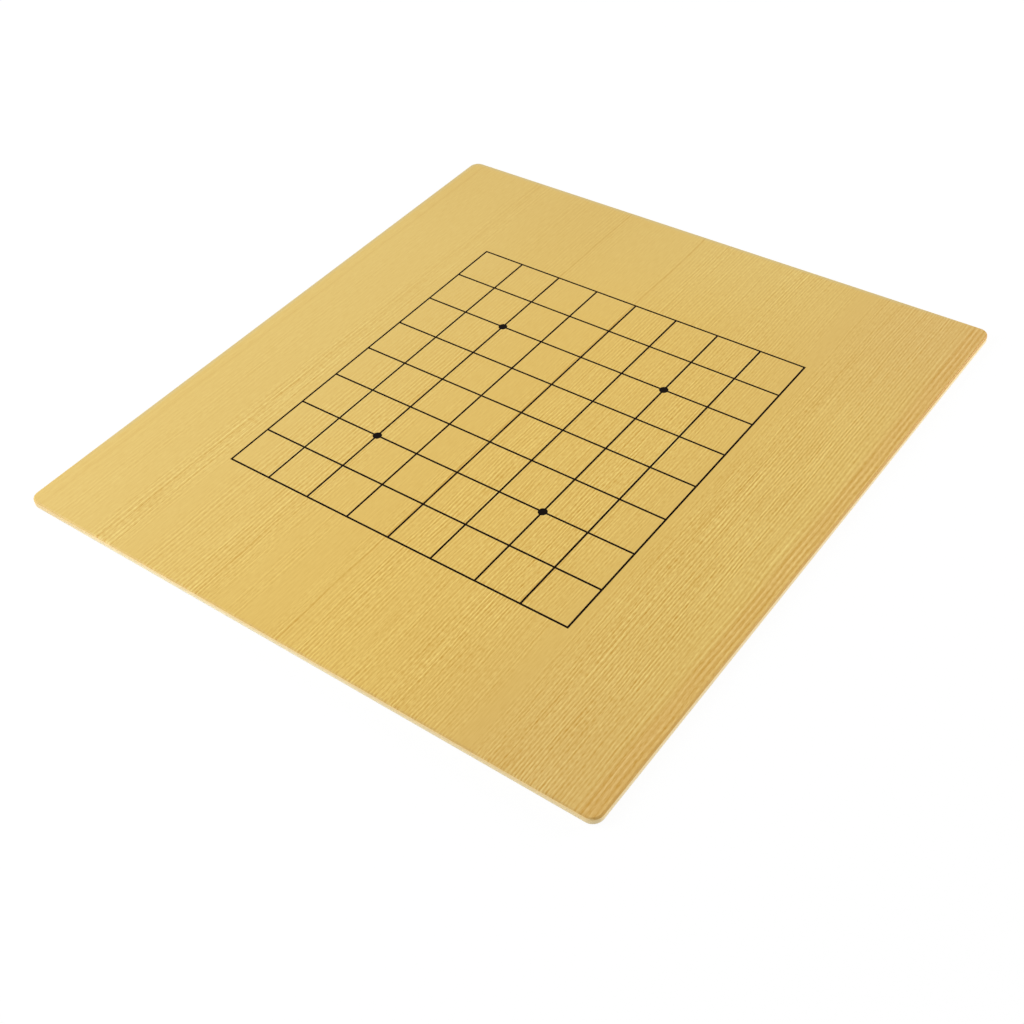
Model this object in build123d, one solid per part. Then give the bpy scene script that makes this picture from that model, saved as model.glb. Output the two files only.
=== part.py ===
"""Thin double-sided weiqi board, in millimetres.

A stiff core panel carries a pale edge strip and a wood-grain sheet on each face. The upper
face has nine playing lines each way, and the reverse has thirteen at the same pitch. The
lines and the star points are ink, filled into shallow engraved pockets so that both faces
stay flat and the board lies steady on either one.

X runs across the board, Y runs from the near player to the far one, and Z is up. The origin
is the middle of the underside.
"""
from build123d import *
import os

# Outline of the board in plan, and the rounding of its arrises.
BOARD_WIDTH = 310.0
BOARD_LENGTH = 330.0
CORNER_RADIUS = 5.0
ARRIS_RADIUS = 0.8

# Build-up of the laminated panel.
CORE_THICKNESS = 3.0
SHEET_THICKNESS = 0.5
BAND_THICKNESS = 1.0

# Hairline left where the two ends of the edge strip meet.
BAND_JOINT_GAP = 0.1

# Playing lines: the pitch suits stones of about 22 mm, and is a little longer along Y.
PITCH_X = 23.5
PITCH_Y = 24.0
FRONT_LINES = 9
BACK_LINES = 13
LINE_WIDTH = 1.0

# Star points, and how many cells in from the edge of its grid each one lies.
STAR_DIAMETER = 4.4
FRONT_STAR_CELLS = 2
BACK_STAR_CELLS = 3

# Depth of the engraved pockets, which the ink fills flush.
INK_DEPTH = 0.1

# Heights that follow from the build-up.
CORE_TOP = SHEET_THICKNESS + CORE_THICKNESS
BOARD_TOP = CORE_TOP + SHEET_THICKNESS


def rounded_board():
    """The whole board as one solid, with its corners and both arrises rounded."""
    outline = RectangleRounded(BOARD_WIDTH, BOARD_LENGTH, CORNER_RADIUS)
    board = extrude(outline, BOARD_TOP)
    underside, *_, top = board.faces().sort_by(Axis.Z)
    return fillet(underside.edges() + top.edges(), ARRIS_RADIUS)


def core_panel():
    """Panel inside the edge strip and between the two sheets."""
    outline = RectangleRounded(
        BOARD_WIDTH - 2 * BAND_THICKNESS,
        BOARD_LENGTH - 2 * BAND_THICKNESS,
        CORNER_RADIUS - BAND_THICKNESS,
    )
    return Pos(0, 0, SHEET_THICKNESS) * extrude(outline, CORE_THICKNESS)


def edge_band(board, core):
    """Strip bent round the core, with its ends butted in the middle of the far edge."""
    middle = split(board, Plane.XY.offset(CORE_TOP), keep=Keep.BOTTOM)
    middle = split(middle, Plane.XY.offset(SHEET_THICKNESS), keep=Keep.TOP)
    joint = Pos(0, BOARD_LENGTH / 2, BOARD_TOP / 2) * Box(BAND_JOINT_GAP, 2 * BAND_THICKNESS, BOARD_TOP)
    return middle - core - joint


def grid_sketch(lines):
    """Crossing playing lines, the same number each way, centred on the board."""
    span_x = (lines - 1) * PITCH_X + LINE_WIDTH
    span_y = (lines - 1) * PITCH_Y + LINE_WIDTH
    along_board = GridLocations(PITCH_X, PITCH_Y, lines, 1) * Rectangle(LINE_WIDTH, span_y)
    across_board = GridLocations(PITCH_X, PITCH_Y, 1, lines) * Rectangle(span_x, LINE_WIDTH)
    return Sketch() + along_board + across_board


def star_sketch(lines, cells_in, with_centre):
    """Round dots some cells in from the corners of a grid, and one in its middle if asked."""
    cells_apart = lines - 1 - 2 * cells_in
    corners = GridLocations(cells_apart * PITCH_X, cells_apart * PITCH_Y, 2, 2)
    dot = Circle(STAR_DIAMETER / 2)
    stars = Sketch() + corners * dot
    return stars + dot if with_centre else stars


def inked_face(sheet, grid, stars, ink_bottom):
    """Engrave a sheet, and return it with the two inks that fill its pockets."""
    place = Pos(0, 0, ink_bottom)
    star_ink = place * extrude(stars, INK_DEPTH)
    line_ink = place * extrude(grid - stars, INK_DEPTH)
    pockets = place * extrude(grid + stars, INK_DEPTH)
    return sheet - pockets, line_ink, star_ink


def build_nodes():
    """Every piece of the board by name."""
    board = rounded_board()
    core = core_panel()
    front_sheet, front_lines, front_stars = inked_face(
        split(board, Plane.XY.offset(CORE_TOP), keep=Keep.TOP),
        grid_sketch(FRONT_LINES),
        star_sketch(FRONT_LINES, FRONT_STAR_CELLS, with_centre=False),
        BOARD_TOP - INK_DEPTH,
    )
    back_sheet, back_lines, back_stars = inked_face(
        split(board, Plane.XY.offset(SHEET_THICKNESS), keep=Keep.BOTTOM),
        grid_sketch(BACK_LINES),
        star_sketch(BACK_LINES, BACK_STAR_CELLS, with_centre=True),
        0,
    )
    return {
        "core_panel": core,
        "edge_band": edge_band(board, core),
        "front_face_sheet": front_sheet,
        "back_face_sheet": back_sheet,
        "front_grid_lines": front_lines,
        "front_star_points": front_stars,
        "back_grid_lines": back_lines,
        "back_star_points": back_stars,
    }


os.makedirs("parts", exist_ok=True)
for name, piece in build_nodes().items():
    piece.label = name
    export_step(piece, f"parts/{name}.step")
print(f"board {BOARD_WIDTH:g} x {BOARD_LENGTH:g} x {BOARD_TOP:g} mm")
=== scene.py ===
"""Dresses a thin double-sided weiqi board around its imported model.

The board lies on a pale floor under soft studio light. Its two face sheets carry a straight
quarter-sawn wood grain that runs from player to player, its side wall is a pale plastic strip,
and its playing lines and star points are black printing ink. Lengths in the finishes are in
millimetres, and those of the studio are in metres.
"""
import logging
import math
from dataclasses import dataclass
from enum import Enum

import bmesh
import bpy
from mathutils import Matrix, Vector

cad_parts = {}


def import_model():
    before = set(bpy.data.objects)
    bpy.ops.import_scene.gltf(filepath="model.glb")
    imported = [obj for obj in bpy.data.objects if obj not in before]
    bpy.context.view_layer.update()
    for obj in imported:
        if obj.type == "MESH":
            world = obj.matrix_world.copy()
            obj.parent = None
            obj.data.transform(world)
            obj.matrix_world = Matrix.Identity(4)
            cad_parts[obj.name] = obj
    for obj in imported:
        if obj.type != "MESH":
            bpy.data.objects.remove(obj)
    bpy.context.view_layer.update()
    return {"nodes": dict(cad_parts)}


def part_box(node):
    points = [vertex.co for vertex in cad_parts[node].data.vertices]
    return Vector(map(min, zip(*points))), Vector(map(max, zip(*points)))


LOG = logging.getLogger("weiqi_board")
MM = 0.001

Socket = bpy.types.NodeSocket
Value = float | Socket
Colour = tuple[float, float, float, float]
Point = tuple[float, float, float]


def srgb(red: int, green: int, blue: int) -> Colour:
    """Turn a colour written as 8-bit display values into scene-linear light.

    Args:
        red: Red display value, 0 to 255.
        green: Green display value, 0 to 255.
        blue: Blue display value, 0 to 255.

    Returns:
        The linear colour with full opacity.
    """
    def linear(channel: int) -> float:
        """Undo the display curve of one channel."""
        share = channel / 255
        return share / 12.92 if share <= 0.04045 else ((share + 0.055) / 1.055) ** 2.4

    return (linear(red), linear(green), linear(blue), 1.0)


WHITE = srgb(255, 255, 255)


@dataclass(frozen=True)
class Ramp:
    """A stretch of some number over which a share rises smoothly from 0 to 1.

    Attributes:
        start: The number at which the share is still 0.
        end: The number at which it has reached 1, which may be the lower of the two.
    """

    start: float
    end: float


@dataclass(frozen=True)
class NoiseLayer:
    """One layer of soft noise.

    Attributes:
        size: Size of its blobs along each of its three coordinates.
        detail: Octaves of finer noise.
        seed: Number that keeps the layer apart from the others of a face sheet.
    """

    size: tuple[float, float, float]
    detail: float
    seed: int = 0


@dataclass(frozen=True)
class Relief:
    """A fine relief of a surface.

    Attributes:
        strength: How much of it shows, from 0 to 1.
        depth: Its depth.
        sunk: Whether its highest values lie deepest.
    """

    strength: float
    depth: float
    sunk: bool = False


class NodeGraph:
    """A node tree, with a short call for each kind of node in use.

    Attributes:
        tree: The node tree.
    """

    def __init__(self, tree: bpy.types.NodeTree) -> None:
        """Start from an empty tree.

        Args:
            tree: The node tree.
        """
        self.tree = tree
        self.tree.nodes.clear()

    def feed(self, socket: Socket, value: Value | Colour) -> None:
        """Link an input to another socket, or set its constant.

        Args:
            socket: The input.
            value: A socket to link from, or a constant.
        """
        if isinstance(value, bpy.types.NodeSocket):
            self.tree.links.new(value, socket)
        else:
            socket.default_value = value

    def node(self, kind: str, **inputs: Value | Colour) -> bpy.types.Node:
        """Add a node and feed its inputs by name.

        Args:
            kind: Blender's identifier of the node.
            **inputs: Value of each input, with underscores for the spaces in its name.

        Returns:
            The new node.
        """
        node = self.tree.nodes.new(kind)
        for name, value in inputs.items():
            self.feed(node.inputs[name.replace("_", " ")], value)
        return node

    def math(self, operation: str, *values: Value) -> Socket:
        """Combine numbers.

        Args:
            operation: Name of the operation, such as MULTIPLY.
            *values: Its operands, in order.

        Returns:
            The result.
        """
        node = self.node("ShaderNodeMath")
        node.operation = operation
        for socket, value in zip(node.inputs, values):
            self.feed(socket, value)
        return node.outputs[0]

    def times(self, first: Value, second: Value) -> Socket:
        """Multiply two numbers."""
        return self.math("MULTIPLY", first, second)

    def plus(self, first: Value, second: Value) -> Socket:
        """Add two numbers."""
        return self.math("ADD", first, second)

    def rise(self, value: Value, ramp: Ramp) -> Socket:
        """Rise smoothly from 0 at the start of a ramp to 1 at its end.

        Args:
            value: The number that is tested.
            ramp: The ramp.

        Returns:
            The share, from 0 to 1.
        """
        node = self.node("ShaderNodeMapRange")
        node.interpolation_type = "SMOOTHSTEP"
        for socket, number in zip(node.inputs, (value, ramp.start, ramp.end, 0.0, 1.0)):
            self.feed(socket, number)
        return node.outputs[0]

    def noise(self, x: Value, y: Value, z: Value, layer: NoiseLayer) -> Socket:
        """Give soft noise at a point.

        Args:
            x: First coordinate of the point.
            y: Second coordinate.
            z: Third coordinate.
            layer: The noise.

        Returns:
            The noise, which centres on 0.5.
        """
        axes = [self.times(axis, 1 / size) for axis, size in zip((x, y, z), layer.size)]
        point = self.node("ShaderNodeCombineXYZ", X=axes[0], Y=axes[1], Z=axes[2]).outputs[0]
        noise = self.node("ShaderNodeTexNoise", Vector=point, Scale=1.0, Detail=layer.detail)
        return noise.outputs["Fac"]

    def random(self, number: Socket) -> Socket:
        """Give each whole number a random share of its own.

        Args:
            number: The whole number.

        Returns:
            The share, from 0 to 1.
        """
        node = self.node("ShaderNodeTexWhiteNoise")
        node.noise_dimensions = "1D"
        self.feed(node.inputs["W"], number)
        return node.outputs["Value"]

    def mix(
        self, share: Value, first: Colour | Socket, second: Colour | Socket, clamped: bool = True
    ) -> Socket:
        """Blend two colours.

        Args:
            share: Share of the second colour.
            first: Colour where the share is 0.
            second: Colour where it is 1.
            clamped: Whether a share outside 0 to 1 is held at the nearer end.

        Returns:
            The blended colour.
        """
        node = self.node("ShaderNodeMix")
        node.data_type = "RGBA"
        node.clamp_factor = clamped
        self.feed(node.inputs[0], share)
        self.feed(node.inputs[6], first)
        self.feed(node.inputs[7], second)
        return node.outputs[2]

    def mix_shaders(self, share: Socket, first: Socket, second: Socket) -> Socket:
        """Blend two shaders.

        Args:
            share: Share of the second shader.
            first: Shader where the share is 0.
            second: Shader where it is 1.

        Returns:
            The blended shader.
        """
        node = self.node("ShaderNodeMixShader", Fac=share)
        self.feed(node.inputs[1], first)
        self.feed(node.inputs[2], second)
        return node.outputs[0]

    def looked_at(self) -> Socket:
        """Tell what the camera sees from what only gives light.

        Returns:
            1 for a ray from the camera, off a gloss or through glass, and 0 for any other.
        """
        rays = self.node("ShaderNodeLightPath").outputs
        seen = self.math("MAXIMUM", rays["Is Camera Ray"], rays["Is Glossy Ray"])
        return self.math("MAXIMUM", seen, rays["Is Transmission Ray"])


class ShaderGraph(NodeGraph):
    """The nodes of one material.

    Attributes:
        material: The material.
    """

    def __init__(self, name: str) -> None:
        """Make an empty material.

        Args:
            name: The material's name.
        """
        self.material = bpy.data.materials.new(name)
        self.material.use_nodes = True
        super().__init__(self.material.node_tree)

    def position_mm(self) -> tuple[Socket, Socket, Socket]:
        """Find the point on the piece.

        Returns:
            Its X, Y and Z in millimetres.
        """
        scaled = self.node("ShaderNodeVectorMath")
        scaled.operation = "SCALE"
        self.feed(scaled.inputs["Vector"], self.node("ShaderNodeTexCoord").outputs["Object"])
        self.feed(scaled.inputs["Scale"], 1 / MM)
        parts = self.node("ShaderNodeSeparateXYZ", Vector=scaled.outputs[0])
        return parts.outputs[0], parts.outputs[1], parts.outputs[2]

    def normal(self, height: Socket, relief: Relief) -> Socket:
        """Turn the surface's normal to a relief.

        Args:
            height: Height of the surface, where 1 is the relief's whole depth.
            relief: The relief.

        Returns:
            The normal.
        """
        bump = self.node(
            "ShaderNodeBump", Strength=relief.strength, Distance=relief.depth * MM, Height=height
        )
        bump.invert = relief.sunk
        return bump.outputs[0]

    def finish(self, shader: Socket) -> bpy.types.Material:
        """Connect the shader to the surface.

        Args:
            shader: The shader's output.

        Returns:
            The finished material.
        """
        self.node("ShaderNodeOutputMaterial", Surface=shader)
        return self.material


class Face(Enum):
    """The two playing faces, each with the sign that turns X to its own sheet's right."""

    FRONT = 1.0
    BACK = -1.0


class SheetGraph(ShaderGraph):
    """The nodes of a face sheet's material, whose grain is cut out of noise at the face's depth.

    Attributes:
        face: The face that the sheet covers.
        x: Coordinate across the board.
        across: The same, counted towards the sheet's own right.
        along: Coordinate along the board and its grain.
    """

    LAYER_SPACING = 23.0
    FACE_SPACING = 170.0

    def __init__(self, face: Face) -> None:
        """Make an empty material and find the point on the sheet.

        Args:
            face: The face that the sheet covers.
        """
        super().__init__(f"wood_grain_{face.name.lower()}")
        self.face = face
        self.x, self.along, _ = self.position_mm()
        self.across = self.times(self.x, face.value)

    def cut(self, layer: NoiseLayer, across: Value, along: Value) -> Socket:
        """Cut a layer of noise at a depth that it has on this face alone.

        Args:
            layer: The noise.
            across: Coordinate across the grain.
            along: Coordinate along the grain.

        Returns:
            The noise, which centres on 0.5.
        """
        depth = self.LAYER_SPACING * layer.seed + self.FACE_SPACING * self.face.value
        return self.noise(across, along, depth, layer)

    def ripple(self, layer: NoiseLayer, across: Value, along: Value) -> Socket:
        """Cut a layer of noise and centre it on 0."""
        return self.plus(self.cut(layer, across, along), -0.5)


@dataclass(frozen=True)
class GroundColour:
    """Colour of the wood between its rings, which warms from the left margin to the right: partly the
    wood's own tone, and partly painted light, brighter on the left towards the key lamp and darker on
    the right.

    Attributes:
        pale_wood_and_sheen: Wood of the left and far margins, which is partly painted sheen.
        warm_wood: Wood of the middle.
        amber_wood: Wood of the right margin.
        orange_wood: Wood of the last few rings on the right.
        warming: Where across the sheet the pale wood turns warm.
        ambering: Where across the sheet the warm wood turns amber.
        least_amber_place: Place along the sheet where the amber is weakest.
        towards_ends: Distance from there over which it strengthens.
        least_amber: Share of the amber at that place.
        far_end: Where along the sheet the far margin pales with painted sheen.
        far_margin: Where across the sheet it does so, from right to left.
        far_sheen: Share of the warmth that the far margin loses to painted sheen.
        right_margin: Where across the sheet the right margin pales.
        right_paling: Share of the warmth that it loses for each share of the amber it lacks.
        orange_rings: Where across the sheet the last rings turn orange.
        orange_share: Share of the orange there.
    """

    pale_wood_and_sheen: Colour = srgb(221, 189, 106)
    warm_wood: Colour = srgb(223, 186, 94)
    amber_wood: Colour = srgb(216, 178, 98)
    orange_wood: Colour = srgb(219, 172, 97)
    warming: Ramp = Ramp(-150.0, 25.0)
    ambering: Ramp = Ramp(30.0, 140.0)
    least_amber_place: float = -10.0
    towards_ends: Ramp = Ramp(40.0, 170.0)
    least_amber: float = 0.2
    far_end: Ramp = Ramp(60.0, 165.0)
    far_margin: Ramp = Ramp(140.0, 40.0)
    far_sheen: float = 0.7
    right_margin: Ramp = Ramp(60.0, 150.0)
    right_paling: float = 0.4
    orange_rings: Ramp = Ramp(144.0, 150.0)
    orange_share: float = 0.35

    def build(self, sheet: SheetGraph) -> Socket:
        """Colour the wood.

        Args:
            sheet: The sheet's nodes.

        Returns:
            The colour.
        """
        across, along = sheet.across, sheet.along
        from_least = sheet.math("ABSOLUTE", sheet.plus(along, -self.least_amber_place))
        more = sheet.times(sheet.rise(from_least, self.towards_ends), 1 - self.least_amber)
        strength = sheet.plus(more, self.least_amber)
        amber = sheet.times(sheet.rise(across, self.ambering), strength)
        body = sheet.mix(amber, self.warm_wood, self.amber_wood)
        # Painted sheen: the far left margin is painted paler, standing for a reflection on the film
        # there.
        far = sheet.times(sheet.rise(along, self.far_end), sheet.rise(across, self.far_margin))
        right = sheet.times(sheet.rise(across, self.right_margin), sheet.plus(strength, -1.0))
        paler = sheet.plus(sheet.times(far, -self.far_sheen), sheet.times(right, self.right_paling))
        # Painted light: the wood pales towards the left, partly standing for the key lamp's sheen there.
        warmth = sheet.times(sheet.rise(across, self.warming), sheet.plus(paler, 1.0))
        ground = sheet.mix(warmth, self.pale_wood_and_sheen, body)
        orange = sheet.times(sheet.rise(across, self.orange_rings), self.orange_share)
        return sheet.mix(orange, ground, self.orange_wood)


@dataclass(frozen=True)
class RingGroup:
    """A stretch of the sheet in which the growth rings stand out, or a single ring that does.

    Attributes:
        place: Middle of the stretch, from the board's middle line towards the right edge.
        reach: Distance from its middle to where the rings have faded away.
        depth: Contrast of the rings in its middle, where 1 is the strongest on the sheet.
    """

    place: float
    reach: float
    depth: float

    def build(self, sheet: SheetGraph, place: Socket) -> Socket:
        """Rise to the full depth in the middle, and fade out at the reach.

        Args:
            sheet: The sheet's nodes.
            place: Coordinate across the grain.

        Returns:
            The depth at that place.
        """
        offset = sheet.times(sheet.plus(place, -self.place), 1 / self.reach)
        hump = sheet.math("SUBTRACT", 1.0, sheet.times(offset, offset))
        return sheet.times(sheet.math("MAXIMUM", hump, 0.0), self.depth)


@dataclass(frozen=True)
class GrowthRings:
    """Growth rings that run almost straight from player to player, and the fine grain in them.

    Attributes:
        per_mm: Rings per millimetre on the board's middle line.
        tightening: Rings per millimetre that each millimetre to the right adds.
        wide_start: Place from which the last rings on the right are wider.
        widening: How many fewer rings there are per millimetre there.
        unevenness: How far rings stray from an even pitch, in rings.
        pitch_noise: Noise that makes them stray.
        sway: How far a whole region of rings swings sideways.
        sway_noise: Noise of that swing.
        wander: How far neighbouring rings wander sideways.
        wander_noise: Noise of that wander.
        darkening: Part of a ring over which early wood darkens into late wood.
        lightening: Part of a ring over which late wood ends, from the ring's end backwards.
        mean_tone: Mean tone of a ring, which is taken off.
        own_strength: Greatest strength that a ring has of its own.
        patch_strength: Strength that comes and goes along a ring.
        patch_loss: Strength that every ring loses.
        patch_noise: Noise of the strength along a ring.
        patch_step: Step in that noise from one ring to the next.
        streak_share: Strength of the long, fine streaks.
        streak_noise: Noise of the streaks.
        pore_share: Strength of the short pores.
        pore_noise: Noise of the pores.
        gain: Strength of the whole pattern.
        steady_share: Share of it that shows everywhere.
        fading_share: Share of it that comes and goes over wide patches.
        fading_noise: Noise of those patches.
        left_half: Where across the sheet its left half starts, from right to left.
        off_margin: Where across the sheet the right margin is left, from right to left.
        far_end: Where along the sheet the pattern fades.
        left_lead: How much nearer it fades on the left half.
        far_fading: Share of its strength that it loses there on the right half, inside the
            margin, and that it loses twice on the left half.
        quiet_depth: Contrast of the rings outside the groups.
        groups: Stretches in which the rings stand out, from left to right.
        dark_rings: Single rings that are darker than their neighbours.
    """

    per_mm: float = 0.575
    tightening: float = 0.00045
    wide_start: float = 144.0
    widening: float = 0.3
    unevenness: float = 2.0
    pitch_noise: NoiseLayer = NoiseLayer((16.0, 1.0, 10.0), detail=3.0, seed=4)
    sway: float = 2.0
    sway_noise: NoiseLayer = NoiseLayer((70.0, 60.0, 10.0), detail=1.0, seed=3)
    wander: float = 1.2
    wander_noise: NoiseLayer = NoiseLayer((9.0, 32.0, 10.0), detail=1.0, seed=9)
    darkening: Ramp = Ramp(0.05, 0.6)
    lightening: Ramp = Ramp(1.0, 0.75)
    mean_tone: float = 0.55
    own_strength: float = 0.65
    patch_strength: float = 2.0
    patch_loss: float = 0.55
    patch_noise: NoiseLayer = NoiseLayer((1.0, 22.0, 10.0), detail=1.0, seed=6)
    patch_step: float = 3.7
    streak_share: float = 1.0
    streak_noise: NoiseLayer = NoiseLayer((0.5, 30.0, 10.0), detail=0.0, seed=7)
    pore_share: float = 1.9
    pore_noise: NoiseLayer = NoiseLayer((0.5, 2.4, 10.0), detail=1.0, seed=10)
    gain: float = 1.1
    steady_share: float = 0.72
    fading_share: float = 0.3
    fading_noise: NoiseLayer = NoiseLayer((30.0, 100.0, 10.0), detail=1.0, seed=5)
    left_half: Ramp = Ramp(30.0, -30.0)
    off_margin: Ramp = Ramp(154.0, 116.0)
    far_end: Ramp = Ramp(-20.0, 165.0)
    left_lead: float = 60.0
    far_fading: float = 0.35
    quiet_depth: float = 0.1
    groups: tuple[RingGroup, ...] = (
        RingGroup(-131.0, 8.0, 0.14),
        RingGroup(-105.0, 11.0, 0.65),
        RingGroup(-74.0, 14.0, 0.4),
        RingGroup(-50.0, 16.0, 0.6),
        RingGroup(-27.0, 6.0, 0.3),
        RingGroup(-3.0, 7.0, 0.45),
        RingGroup(14.0, 13.0, 0.65),
        RingGroup(38.0, 17.0, 0.55),
        RingGroup(59.0, 11.0, 0.8),
        RingGroup(73.0, 9.0, 0.58),
        RingGroup(85.0, 7.0, 0.45),
        RingGroup(107.0, 11.0, 0.68),
        RingGroup(127.0, 19.0, 0.78),
        RingGroup(151.0, 12.0, 0.55),
    )
    dark_rings: tuple[RingGroup, ...] = (
        RingGroup(-147.0, 0.9, 0.12),
        RingGroup(-108.6, 0.6, 0.14),
        RingGroup(-106.0, 0.6, 0.14),
        RingGroup(-47.6, 0.7, 0.24),
        RingGroup(-0.9, 0.7, 0.28),
        RingGroup(110.2, 1.0, 0.1),
        RingGroup(147.4, 0.9, 0.14),
        RingGroup(149.9, 0.8, 0.2),
        RingGroup(152.5, 0.9, 0.22),
    )

    def build(self, sheet: SheetGraph) -> Socket:
        """Draw the whole pattern.

        Args:
            sheet: The sheet's nodes.

        Returns:
            Its tone: above 0 in late wood, and below 0 in early wood.
        """
        place = self._place(sheet)
        drawn = sheet.plus(self._rings(sheet, place), self._fine_grain(sheet, place))
        drawn = sheet.times(drawn, self._far_strength(sheet, place))
        tone = sheet.times(drawn, sheet.times(self._strength(sheet, place), self.gain))
        for dark_ring in self.dark_rings:
            tone = sheet.plus(tone, dark_ring.build(sheet, place))
        return tone

    def _place(self, sheet: SheetGraph) -> Socket:
        """Move the rings a little sideways.

        Args:
            sheet: The sheet's nodes.

        Returns:
            Coordinate across the grain that stays the same along a ring.
        """
        sway = sheet.times(sheet.ripple(self.sway_noise, sheet.across, sheet.along), self.sway)
        wander = sheet.times(sheet.ripple(self.wander_noise, sheet.across, sheet.along), self.wander)
        return sheet.plus(sheet.across, sheet.plus(sway, wander))

    def _count(self, sheet: SheetGraph, place: Socket) -> Socket:
        """Count the rings from the board's middle line, at their uneven pitch.

        Args:
            sheet: The sheet's nodes.
            place: Coordinate across the grain.

        Returns:
            The number of rings, with the part of the ring that has been passed.
        """
        slope = sheet.plus(sheet.times(place, self.tightening), self.per_mm)
        past_start = sheet.math("MAXIMUM", sheet.plus(place, -self.wide_start), 0.0)
        even = sheet.plus(sheet.times(place, slope), sheet.times(past_start, -self.widening))
        stray = sheet.times(sheet.cut(self.pitch_noise, place, 0.0), self.unevenness)
        return sheet.plus(even, stray)

    def _rings(self, sheet: SheetGraph, place: Socket) -> Socket:
        """Draw the rings, each with a strength of its own that changes along it.

        Args:
            sheet: The sheet's nodes.
            place: Coordinate across the grain.

        Returns:
            Their tone.
        """
        count = self._count(sheet, place)
        part = sheet.math("FRACT", count)
        late = sheet.times(sheet.rise(part, self.darkening), sheet.rise(part, self.lightening))
        number = sheet.math("FLOOR", count)
        patches = sheet.cut(self.patch_noise, sheet.times(number, self.patch_step), sheet.along)
        own = sheet.times(sheet.random(number), self.own_strength)
        varied = sheet.plus(sheet.times(patches, self.patch_strength), -self.patch_loss)
        return sheet.times(sheet.plus(late, -self.mean_tone), sheet.plus(own, varied))

    def _fine_grain(self, sheet: SheetGraph, place: Socket) -> Socket:
        """Draw the streaks and pores.

        Args:
            sheet: The sheet's nodes.
            place: Coordinate across the grain.

        Returns:
            Their tone.
        """
        streaks = sheet.times(sheet.ripple(self.streak_noise, place, sheet.along), self.streak_share)
        pores = sheet.times(sheet.ripple(self.pore_noise, place, sheet.along), self.pore_share)
        return sheet.plus(streaks, pores)

    def _strength(self, sheet: SheetGraph, place: Socket) -> Socket:
        """Say how strongly the pattern shows in each group of rings, and in wide patches.

        Args:
            sheet: The sheet's nodes.
            place: Coordinate across the grain.

        Returns:
            The strength.
        """
        contrast: Value = self.quiet_depth
        for group in self.groups:
            contrast = sheet.plus(contrast, group.build(sheet, place))
        patches = sheet.cut(self.fading_noise, place, sheet.along)
        shown = sheet.plus(sheet.times(patches, self.fading_share), self.steady_share)
        return sheet.times(contrast, shown)

    def _far_strength(self, sheet: SheetGraph, place: Socket) -> Socket:
        """Say how much of the pattern is left towards the far end.

        Args:
            sheet: The sheet's nodes.
            place: Coordinate across the grain.

        Returns:
            The share that is left.
        """
        left = sheet.rise(place, self.left_half)
        ahead = sheet.plus(sheet.along, sheet.times(left, self.left_lead))
        sides = sheet.plus(left, sheet.rise(place, self.off_margin))
        fade = sheet.times(sheet.rise(ahead, self.far_end), sides)
        return sheet.plus(sheet.times(fade, -self.far_fading), 1.0)


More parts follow.
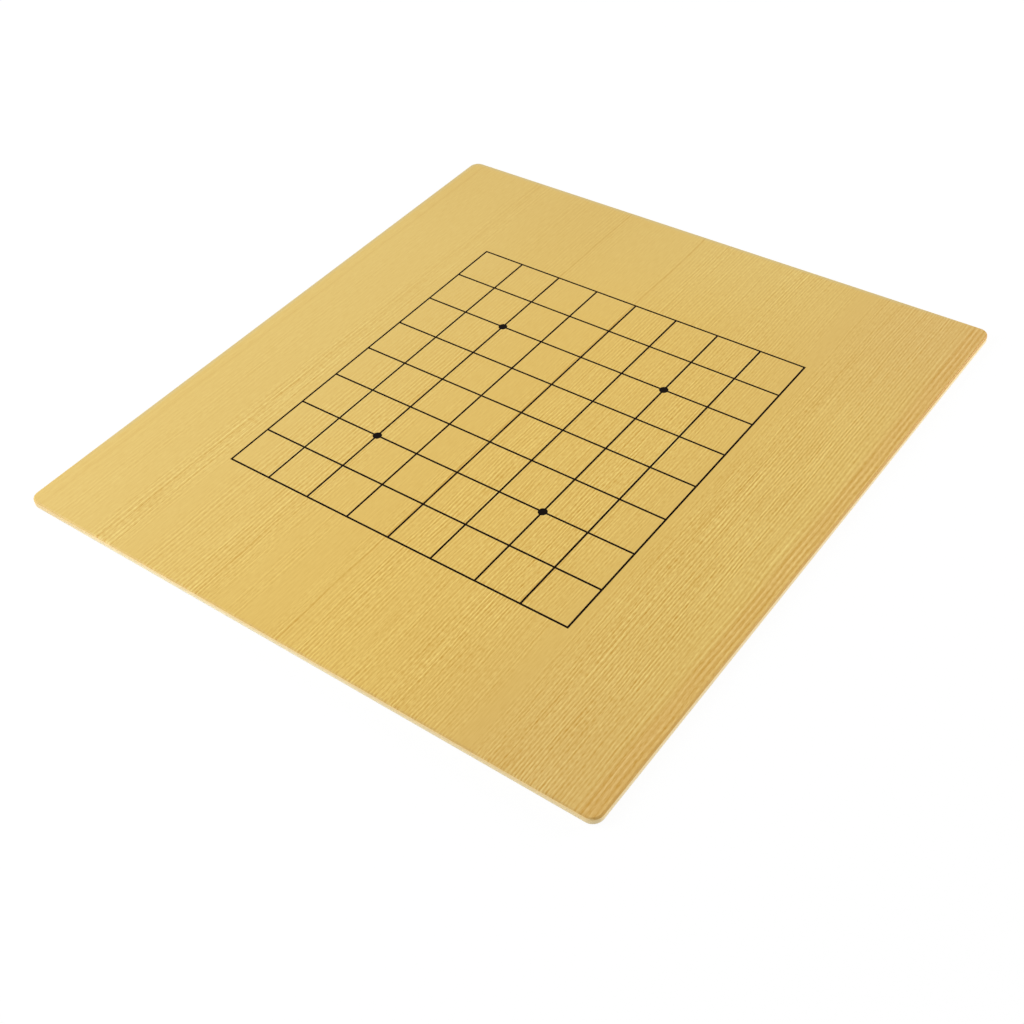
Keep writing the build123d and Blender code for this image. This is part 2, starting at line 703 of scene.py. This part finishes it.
@dataclass(frozen=True)
class SheetRim:
    """Rim of a face sheet, which is rounded over the arris, with painted shade on its left, far and
    right rims.

    Attributes:
        half_width: Half the board's width.
        half_length: Half the board's length.
        corner_radius: Radius of the board's corners in plan.
        tone: Colour of the sheet where it bends over.
        right_shade_tone: The same on the right side, deepened with painted shade where the side lamp
            lights the bend.
        arris_shade_tone: Duller, paler colour of the left and far rims, painted shade where the rounded
            arris turns away from the light.
        bend: Where the sheet bends over, as a distance outwards from the outline.
        tone_share: Share of the tone on the bend.
        patch_noise: Noise of the patches in which it shows most.
        patch_edge: Value of that noise over which a patch starts.
        between_patches: How much of the tone shows between the patches.
        right_side: Where the right side starts, as a distance to the right from its edge.
        far_right_shade_share: Share of the painted shade at the far end of the right side.
        towards_far_right: Where along the board that share is reached.
        arris_shade: Where the painted arris shade starts, as a distance outwards from the outline.
        arris_shade_side: Where the side with that shade starts, as the place along the board less that
            across.
        arris_shade_share: Share of the painted arris shade there.
    """

    half_width: float
    half_length: float
    corner_radius: float = 5.0
    tone: Colour = srgb(186, 144, 74)
    right_shade_tone: Colour = srgb(196, 142, 36)
    arris_shade_tone: Colour = srgb(208, 191, 140)
    bend: Ramp = Ramp(-0.8, -0.4)
    tone_share: float = 0.3
    patch_noise: NoiseLayer = NoiseLayer((14.0, 14.0, 10.0), detail=2.0, seed=8)
    patch_edge: Ramp = Ramp(0.35, 0.65)
    between_patches: float = 0.2
    right_side: Ramp = Ramp(-2.0, -0.8)
    far_right_shade_share: float = 0.85
    towards_far_right: Ramp = Ramp(-90.0, 110.0)
    arris_shade: Ramp = Ramp(-3.0, -1.2)
    arris_shade_side: Ramp = Ramp(0.0, 60.0)
    arris_shade_share: float = 0.5

    def build(self, sheet: SheetGraph, wood: Socket) -> Socket:
        """Colour the rim over the wood.

        Args:
            sheet: The sheet's nodes.
            wood: Colour of the wood.

        Returns:
            Colour of the whole sheet.
        """
        outward = self._outward(sheet)
        # Painted shade: the left and far rims are greyed where the arris turns away from the light.
        far_left = sheet.rise(sheet.math("SUBTRACT", sheet.along, sheet.x), self.arris_shade_side)
        arris_shade = sheet.times(sheet.rise(outward, self.arris_shade), far_left)
        coloured = sheet.mix(sheet.times(arris_shade, self.arris_shade_share), wood, self.arris_shade_tone)
        bend = sheet.rise(outward, self.bend)
        patches = sheet.rise(sheet.cut(self.patch_noise, sheet.x, sheet.along), self.patch_edge)
        mottled = sheet.plus(sheet.times(patches, 1 - self.between_patches), self.between_patches)
        shown = sheet.times(bend, sheet.times(mottled, self.tone_share))
        coloured = sheet.mix(shown, coloured, self.tone)
        # Painted shade: the right bend is darkened, most at the far end, where the side lamp lights it.
        right = sheet.rise(sheet.plus(sheet.x, -self.half_width), self.right_side)
        further = sheet.rise(sheet.along, self.towards_far_right)
        share = sheet.plus(sheet.times(further, self.far_right_shade_share - self.tone_share), self.tone_share)
        return sheet.mix(sheet.times(sheet.times(bend, right), share), coloured, self.right_shade_tone)

    def _outward(self, sheet: SheetGraph) -> Socket:
        """Measure how far a point lies outside the board's rounded outline.

        Args:
            sheet: The sheet's nodes.

        Returns:
            The distance, which is below 0 inside the outline.
        """
        past = []
        for axis, half in ((sheet.x, self.half_width), (sheet.along, self.half_length)):
            distance = sheet.plus(sheet.math("ABSOLUTE", axis), self.corner_radius - half)
            past.append(sheet.math("MAXIMUM", distance, 0.0))
        squares = sheet.plus(sheet.times(past[0], past[0]), sheet.times(past[1], past[1]))
        return sheet.plus(sheet.math("SQRT", squares), -self.corner_radius)


@dataclass(frozen=True)
class WoodGrainSheet:
    """Straight quarter-sawn softwood under a satin film.

    Attributes:
        face: The face that the sheet covers.
        rim: Its rounded rim.
        ground: Colour of the wood between its rings.
        rings: Its growth rings and fine grain.
        late_wood: Dark side of a ring.
        fibre_noise: Noise of the fibres.
        fibre_share: Strength of the fibres in the tone.
        fibre_roughness: How much the fibres change the roughness.
        cloud_noise: Noise of the slow changes in tone.
        cloud_share: Strength of those changes.
        corner_across: Where across the sheet its far left corner is darkened with painted shade, from
            right to left.
        corner_along: Where along the sheet it does so.
        corner_shade_share: Strength of that painted shade.
        relief: Relief of the rings and fibres.
        roughness: Roughness of the film.
        specular: Specular level of the film.
    """

    face: Face
    rim: SheetRim
    ground: GroundColour = GroundColour()
    rings: GrowthRings = GrowthRings()
    late_wood: Colour = srgb(190, 136, 14)
    fibre_noise: NoiseLayer = NoiseLayer((0.5, 6.0, 1.0), detail=3.0, seed=1)
    fibre_share: float = 0.5
    fibre_roughness: float = 0.12
    cloud_noise: NoiseLayer = NoiseLayer((45.0, 140.0, 10.0), detail=1.0, seed=2)
    cloud_share: float = 0.12
    corner_across: Ramp = Ramp(20.0, -80.0)
    corner_along: Ramp = Ramp(70.0, 160.0)
    corner_shade_share: float = 0.1
    relief: Relief = Relief(0.12, 0.04, sunk=True)
    roughness: float = 0.48
    specular: float = 0.4

    def build(self) -> bpy.types.Material:
        """Make the sheet's material.

        Returns:
            The material.
        """
        sheet = SheetGraph(self.face)
        rings = self.rings.build(sheet)
        fibre = sheet.ripple(self.fibre_noise, sheet.across, sheet.along)
        tone = sheet.plus(rings, sheet.plus(sheet.times(fibre, self.fibre_share), self._shade(sheet)))
        grained = sheet.mix(tone, self.ground.build(sheet), self.late_wood, clamped=False)
        shader = sheet.node(
            "ShaderNodeBsdfPrincipled",
            Base_Color=self.rim.build(sheet, grained),
            Roughness=sheet.plus(sheet.times(fibre, self.fibre_roughness), self.roughness),
            Specular_IOR_Level=self.specular,
            Normal=sheet.normal(sheet.plus(rings, fibre), self.relief),
        )
        return sheet.finish(shader.outputs[0])

    def _shade(self, sheet: SheetGraph) -> Socket:
        """Change the wood's tone slowly from place to place, and darken its far left corner with painted
        shade.

        Args:
            sheet: The sheet's nodes.

        Returns:
            Tone of the slow changes and of the painted shade.
        """
        cloud = sheet.ripple(self.cloud_noise, sheet.across, sheet.along)
        # Painted shade: the far left corner is darkened, away from the key lamp.
        corner = sheet.times(
            sheet.rise(sheet.across, self.corner_across), sheet.rise(sheet.along, self.corner_along)
        )
        return sheet.plus(sheet.times(cloud, self.cloud_share), sheet.times(corner, self.corner_shade_share))


@dataclass(frozen=True)
class EdgeStripFinish:
    """Pale wood-coloured plastic strip with a satin skin and faint lengthwise drawing lines, with
    painted shade under the sheet on its right side and towards its right end, and painted light near the
    table.

    Attributes:
        half_width: Half the board's width.
        upper: Colour under the face sheet.
        lower: Colour near the table, painted paler where the white floor lights the wall.
        honey_and_shade: Deeper tone of the strip towards its left and right ends; towards the right end
            it is painted shade.
        amber: Painted shade on the strip's right side just under the sheet, as dark as the wood.
        height: Where up the strip its lower colour turns into its upper one.
        drawn_noise: Noise of the drawing lines.
        drawn_reach: How far they move that turn up and down.
        mottle_noise: Noise of the mottling.
        mottle_share: Share of that deeper tone in the mottling.
        right_shade_end: Where across the board the painted shade sets in to the right.
        right_shade_share: Share of the painted shade there.
        left_end: Where across the board the deeper tone sets in to the left.
        left_share: Share of the deeper tone there.
        right_side: Where the right side starts, as a distance to the right from its edge.
        under_sheet: Where up the strip the painted shade sets in.
        amber_shade_end: Where along the board the painted shade reaches further down.
        amber_shade_reach: How much further down it reaches there.
        relief: Relief of the drawing lines.
        roughness: Roughness of the skin.
    """

    half_width: float
    upper: Colour = srgb(250, 219, 152)
    lower: Colour = srgb(250, 236, 192)
    honey_and_shade: Colour = srgb(226, 192, 120)
    amber: Colour = srgb(205, 158, 54)
    height: Ramp = Ramp(1.2, 3.2)
    drawn_noise: NoiseLayer = NoiseLayer((40.0, 40.0, 0.25), detail=2.0)
    drawn_reach: float = 0.8
    mottle_noise: NoiseLayer = NoiseLayer((9.0, 9.0, 9.0), detail=2.0)
    mottle_share: float = 0.16
    right_shade_end: Ramp = Ramp(-60.0, 160.0)
    right_shade_share: float = 0.32
    left_end: Ramp = Ramp(-95.0, -145.0)
    left_share: float = 0.5
    right_side: Ramp = Ramp(-4.0, -0.5)
    under_sheet: Ramp = Ramp(2.7, 3.3)
    amber_shade_end: Ramp = Ramp(-80.0, 60.0)
    amber_shade_reach: float = 0.45
    relief: Relief = Relief(0.1, 0.03)
    roughness: float = 0.42

    def build(self) -> bpy.types.Material:
        """Make the strip's material.

        Returns:
            The material.
        """
        graph = ShaderGraph("edge_strip")
        x, y, z = graph.position_mm()
        drawn = graph.noise(x, y, z, self.drawn_noise)
        turn = graph.plus(z, graph.times(graph.plus(drawn, -0.5), self.drawn_reach))
        # Painted light: the strip is paler near the table, where the white floor brightens it.
        skin = graph.mix(graph.rise(turn, self.height), self.lower, self.upper)
        mottled = graph.times(graph.noise(x, y, z, self.mottle_noise), self.mottle_share)
        # Painted shade: the strip darkens towards its right end, away from the key lamp.
        shade_to_right = graph.times(graph.rise(x, self.right_shade_end), self.right_shade_share)
        to_left = graph.times(graph.rise(x, self.left_end), self.left_share)
        skin = graph.mix(graph.plus(graph.plus(shade_to_right, to_left), mottled), skin, self.honey_and_shade)
        # Painted shade: the right side under the sheet's edge is darkened to amber, reaching further
        # down towards the far end.
        right_side = graph.rise(graph.plus(x, -self.half_width), self.right_side)
        further = graph.times(graph.rise(y, self.amber_shade_end), self.amber_shade_reach)
        amber = graph.times(right_side, graph.rise(graph.plus(z, further), self.under_sheet))
        shader = graph.node(
            "ShaderNodeBsdfPrincipled",
            Base_Color=graph.mix(amber, skin, self.amber),
            Roughness=self.roughness,
            Normal=graph.normal(drawn, self.relief),
        )
        return graph.finish(shader.outputs[0])


@dataclass(frozen=True)
class PrintingInk:
    """Warm black ink, slightly greyer where it lies thick and catches the light.

    Attributes:
        black: Colour of the ink.
        grey: Its colour where it lies thick.
        speckle_noise: Noise of its thickness.
        thick: Value of that noise over which it counts as thick.
        relief: Relief of the thickness.
        roughness: Roughness of the dried ink.
        specular: Its specular level.
    """

    black: Colour = srgb(12, 5, 1)
    grey: Colour = srgb(21, 12, 5)
    speckle_noise: NoiseLayer = NoiseLayer((0.4, 0.4, 0.4), detail=3.0)
    thick: Ramp = Ramp(0.4, 0.7)
    relief: Relief = Relief(0.15, 0.02)
    roughness: float = 0.55
    specular: float = 0.04

    def build(self) -> bpy.types.Material:
        """Make the ink's material.

        Returns:
            The material.
        """
        graph = ShaderGraph("black_ink")
        speckle = graph.noise(*graph.position_mm(), self.speckle_noise)
        shader = graph.node(
            "ShaderNodeBsdfPrincipled",
            Base_Color=graph.mix(graph.rise(speckle, self.thick), self.black, self.grey),
            Roughness=self.roughness,
            Specular_IOR_Level=self.specular,
            Normal=graph.normal(speckle, self.relief),
        )
        return graph.finish(shader.outputs[0])


@dataclass(frozen=True)
class Fibreboard:
    """Pressed wood fibre of the hidden core.

    Attributes:
        light: Colour of the light fibres.
        dark: Colour of the dark fibres.
        fibre_noise: Noise of the fibres.
        dark_fibres: Value of that noise over which a fibre is dark.
        relief: Relief of the fibres.
        roughness: Roughness of the board.
    """

    light: Colour = srgb(190, 160, 120)
    dark: Colour = srgb(140, 108, 74)
    fibre_noise: NoiseLayer = NoiseLayer((1.4, 1.4, 0.25), detail=4.0)
    dark_fibres: Ramp = Ramp(0.35, 0.65)
    relief: Relief = Relief(0.3, 0.1)
    roughness: float = 0.85

    def build(self) -> bpy.types.Material:
        """Make the core's material.

        Returns:
            The material.
        """
        graph = ShaderGraph("fibreboard")
        fibres = graph.noise(*graph.position_mm(), self.fibre_noise)
        shader = graph.node(
            "ShaderNodeBsdfPrincipled",
            Base_Color=graph.mix(graph.rise(fibres, self.dark_fibres), self.light, self.dark),
            Roughness=self.roughness,
            Normal=graph.normal(fibres, self.relief),
        )
        return graph.finish(shader.outputs[0])


@dataclass(frozen=True)
class StudioFloorFinish:
    """Matt white paper that the camera sees as white, with a faint shadow.

    Attributes:
        paper: Colour of the paper, which lights the board from below.
        seen_strength: Brightness of the white that the camera sees.
        seen_share: Share of that white, so that the rest shows the shadow.
    """

    paper: Colour = srgb(240, 240, 240)
    seen_strength: float = 1.02
    seen_share: float = 0.92

    def build(self) -> bpy.types.Material:
        """Make the floor's material.

        Returns:
            The material.
        """
        graph = ShaderGraph("studio_floor")
        diffuse = graph.node("ShaderNodeBsdfDiffuse", Color=self.paper)
        white = graph.node("ShaderNodeEmission", Color=WHITE, Strength=self.seen_strength)
        seen = graph.times(graph.looked_at(), self.seen_share)
        return graph.finish(graph.mix_shaders(seen, diffuse.outputs[0], white.outputs[0]))


@dataclass
class Board:
    """The laminated board: its core, edge strip, face sheets and printed lines.

    Attributes:
        nodes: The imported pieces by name.
    """

    nodes: dict[str, bpy.types.Object]

    def dress(self) -> None:
        """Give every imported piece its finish."""
        low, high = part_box("edge_band")
        half_width = (high.x - low.x) / 2 / MM
        half_length = (high.y - low.y) / 2 / MM
        rim = SheetRim(half_width, half_length)
        ink = PrintingInk().build()
        finishes = {
            "core_panel": Fibreboard().build(),
            "edge_band": EdgeStripFinish(half_width).build(),
            "front_face_sheet": WoodGrainSheet(Face.FRONT, rim).build(),
            "back_face_sheet": WoodGrainSheet(Face.BACK, rim).build(),
            "front_grid_lines": ink,
            "front_star_points": ink,
            "back_grid_lines": ink,
            "back_star_points": ink,
        }
        for name, material in finishes.items():
            piece = self.nodes[name]
            for slot in piece.material_slots:
                slot.material = material
            LOG.info("%s is dressed in %s", name, material.name)


@dataclass(frozen=True)
class SoftLamp:
    """A square soft lamp.

    Attributes:
        name: The lamp's name.
        place: Where it hangs.
        side: Length of its side.
        power: Its power, in watts.
        aim: The point that it faces.
    """

    name: str
    place: Point
    side: float
    power: float
    aim: Point = (0.0, 0.0, 0.0)

    def build(self) -> None:
        """Hang the lamp and turn it to what it faces."""
        data = bpy.data.lights.new(self.name, "AREA")
        data.size = self.side
        data.energy = self.power
        lamp = bpy.data.objects.new(self.name, data)
        lamp.location = self.place
        lamp.rotation_euler = (Vector(self.aim) - Vector(self.place)).to_track_quat("-Z", "Y").to_euler()
        bpy.context.scene.collection.objects.link(lamp)


@dataclass(frozen=True)
class StudioCamera:
    """The camera, which looks at the board from its front right.

    Attributes:
        place: Where it stands.
        aim: The point of the board in the middle of the picture.
        roll: How far its right side is lowered, in degrees.
        lens: Focal length, in millimetres.
        sensor: Width of its sensor, in millimetres.
    """

    place: Point = (0.33378, -0.39732, 0.44035)
    aim: Point = (0.03586, -0.05518, 0.004)
    roll: float = 6.11
    lens: float = 51.48
    sensor: float = 36.0

    def build(self) -> bpy.types.Object:
        """Stand the camera where the picture was taken from.

        Returns:
            The camera.
        """
        data = bpy.data.cameras.new("camera")
        data.lens = self.lens
        data.sensor_width = self.sensor
        camera = bpy.data.objects.new("camera", data)
        place = Vector(self.place)
        look = (Vector(self.aim) - place).to_track_quat("-Z", "Y").to_matrix()
        turned = look @ Matrix.Rotation(-math.radians(self.roll), 3, "Z")
        camera.matrix_world = Matrix.Translation(place) @ turned.to_4x4()
        bpy.context.scene.collection.objects.link(camera)
        return camera


@dataclass
class Studio:
    """Pale floor, soft light and camera.

    Attributes:
        floor_side: Length of the floor's side.
        floor_drop: How far the floor lies under the board, so that the two don't flicker.
        sky_light: Brightness of the surrounding light.
        lamps: The lamps.
        camera: The camera.
    """

    floor_side: float = 6.0
    floor_drop: float = 0.2 * MM
    sky_light: float = 0.5
    lamps: tuple[SoftLamp, ...] = (
        SoftLamp("key_lamp", (-0.85, -0.51, 0.6), 1.0, 11.0),
        SoftLamp("side_lamp", (0.82, 0.99, 0.3), 0.5, 10.5),
    )
    camera: StudioCamera = StudioCamera()

    def build(self) -> None:
        """Set up the floor, light and camera."""
        self._floor()
        self._sky()
        for lamp in self.lamps:
            lamp.build()
            LOG.info("%s hangs at %s", lamp.name, lamp.place)
        bpy.context.scene.camera = self.camera.build()
        LOG.info("the camera stands at %s", self.camera.place)

    def _floor(self) -> None:
        """Lay the floor just under the board."""
        mesh = bpy.data.meshes.new("studio_floor")
        sheet = bmesh.new()
        bmesh.ops.create_grid(sheet, x_segments=1, y_segments=1, size=self.floor_side / 2)
        bmesh.ops.translate(sheet, verts=sheet.verts, vec=(0.0, 0.0, -self.floor_drop))
        sheet.to_mesh(mesh)
        sheet.free()
        mesh.materials.append(StudioFloorFinish().build())
        floor = bpy.data.objects.new("studio_floor", mesh)
        bpy.context.scene.collection.objects.link(floor)
        LOG.info("the floor is %.1f m wide", self.floor_side)

    def _sky(self) -> None:
        """Surround the board with even light, which the camera sees as white."""
        world = bpy.data.worlds.new("studio_sky")
        world.use_nodes = True
        graph = NodeGraph(world.node_tree)
        light = graph.node("ShaderNodeBackground", Color=WHITE, Strength=self.sky_light)
        white = graph.node("ShaderNodeBackground", Color=WHITE, Strength=1.0)
        mixed = graph.mix_shaders(graph.looked_at(), light.outputs[0], white.outputs[0])
        graph.node("ShaderNodeOutputWorld", Surface=mixed)
        bpy.context.scene.world = world


def main() -> None:
    """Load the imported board, dress it and set up the studio."""
    logging.basicConfig(level=logging.INFO, format="%(name)s: %(message)s")
    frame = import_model()
    Board(frame["nodes"]).dress()
    Studio().build()
    bpy.context.scene.view_settings.view_transform = "Standard"


if __name__ == "__main__":
    main()
